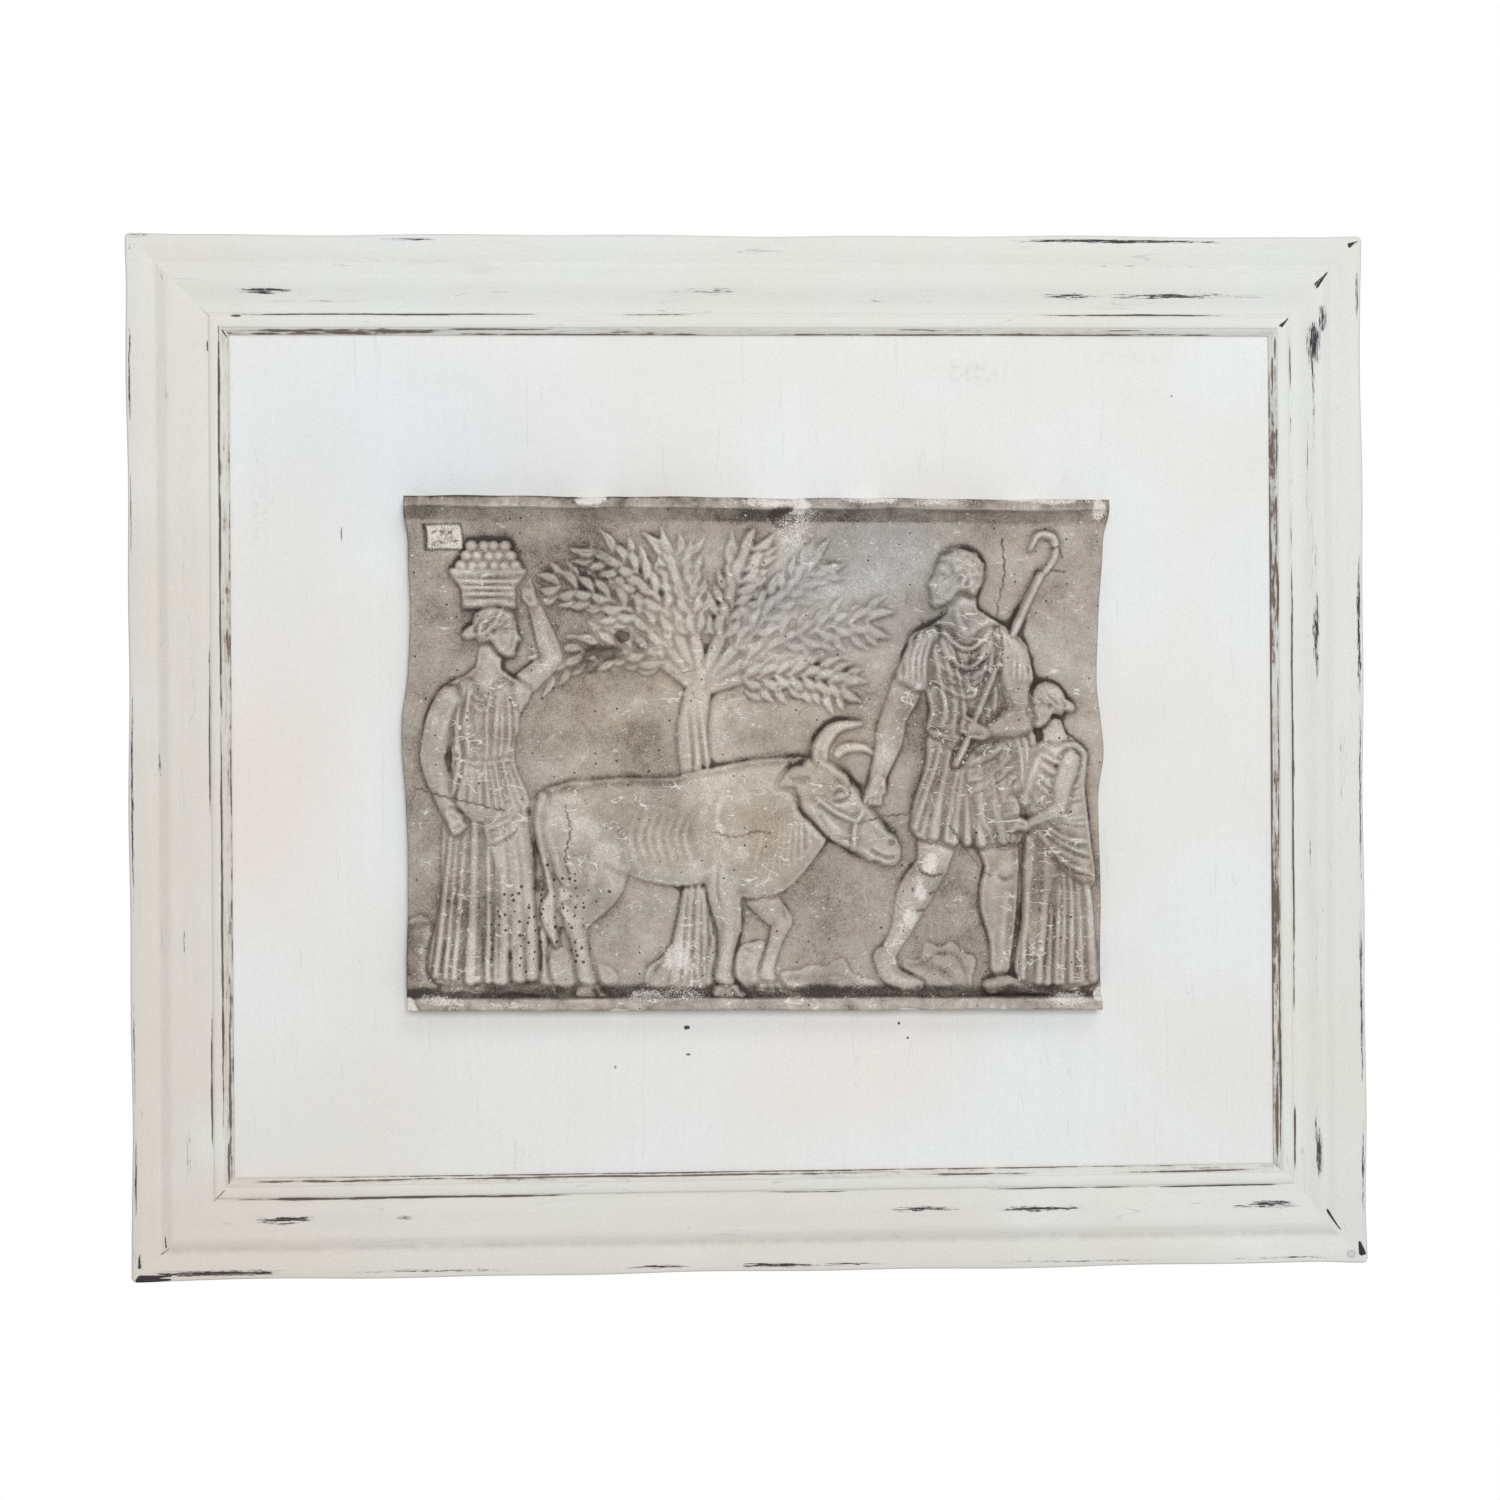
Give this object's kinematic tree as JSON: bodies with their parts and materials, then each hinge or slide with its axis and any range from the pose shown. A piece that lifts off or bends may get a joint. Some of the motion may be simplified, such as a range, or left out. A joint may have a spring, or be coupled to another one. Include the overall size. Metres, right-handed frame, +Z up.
{
  "type": "plaster relief plaque",
  "caption": "Framed plaster cast relief of a pastoral scene, mounted on a painted panel in a distressed moulded frame, hung on a wall.",
  "frame": {"origin": "middle of the flat back of the top rail, where the frame hangs against the wall", "axes": "+Z up, -Y out of the wall towards the viewer, +X to the viewer's right"},
  "size_m": [0.62, 0.0363, 0.52],
  "materials": {
    "frame_paint": "warm white chalk paint, rubbed through to dark wood along edges and scuffs",
    "panel_paint": "cool white brushed matt paint",
    "aged_plaster": "grey-brown stained and worn plaster with white chips"
  },
  "bodies": {
    "root": {"frame_rail_top": "frame_paint", "frame_rail_bottom": "frame_paint", "frame_rail_left": "frame_paint", "frame_rail_right": "frame_paint", "backing_panel": "panel_paint", "relief_plaque": "aged_plaster"}
  },
  "joints": []
}
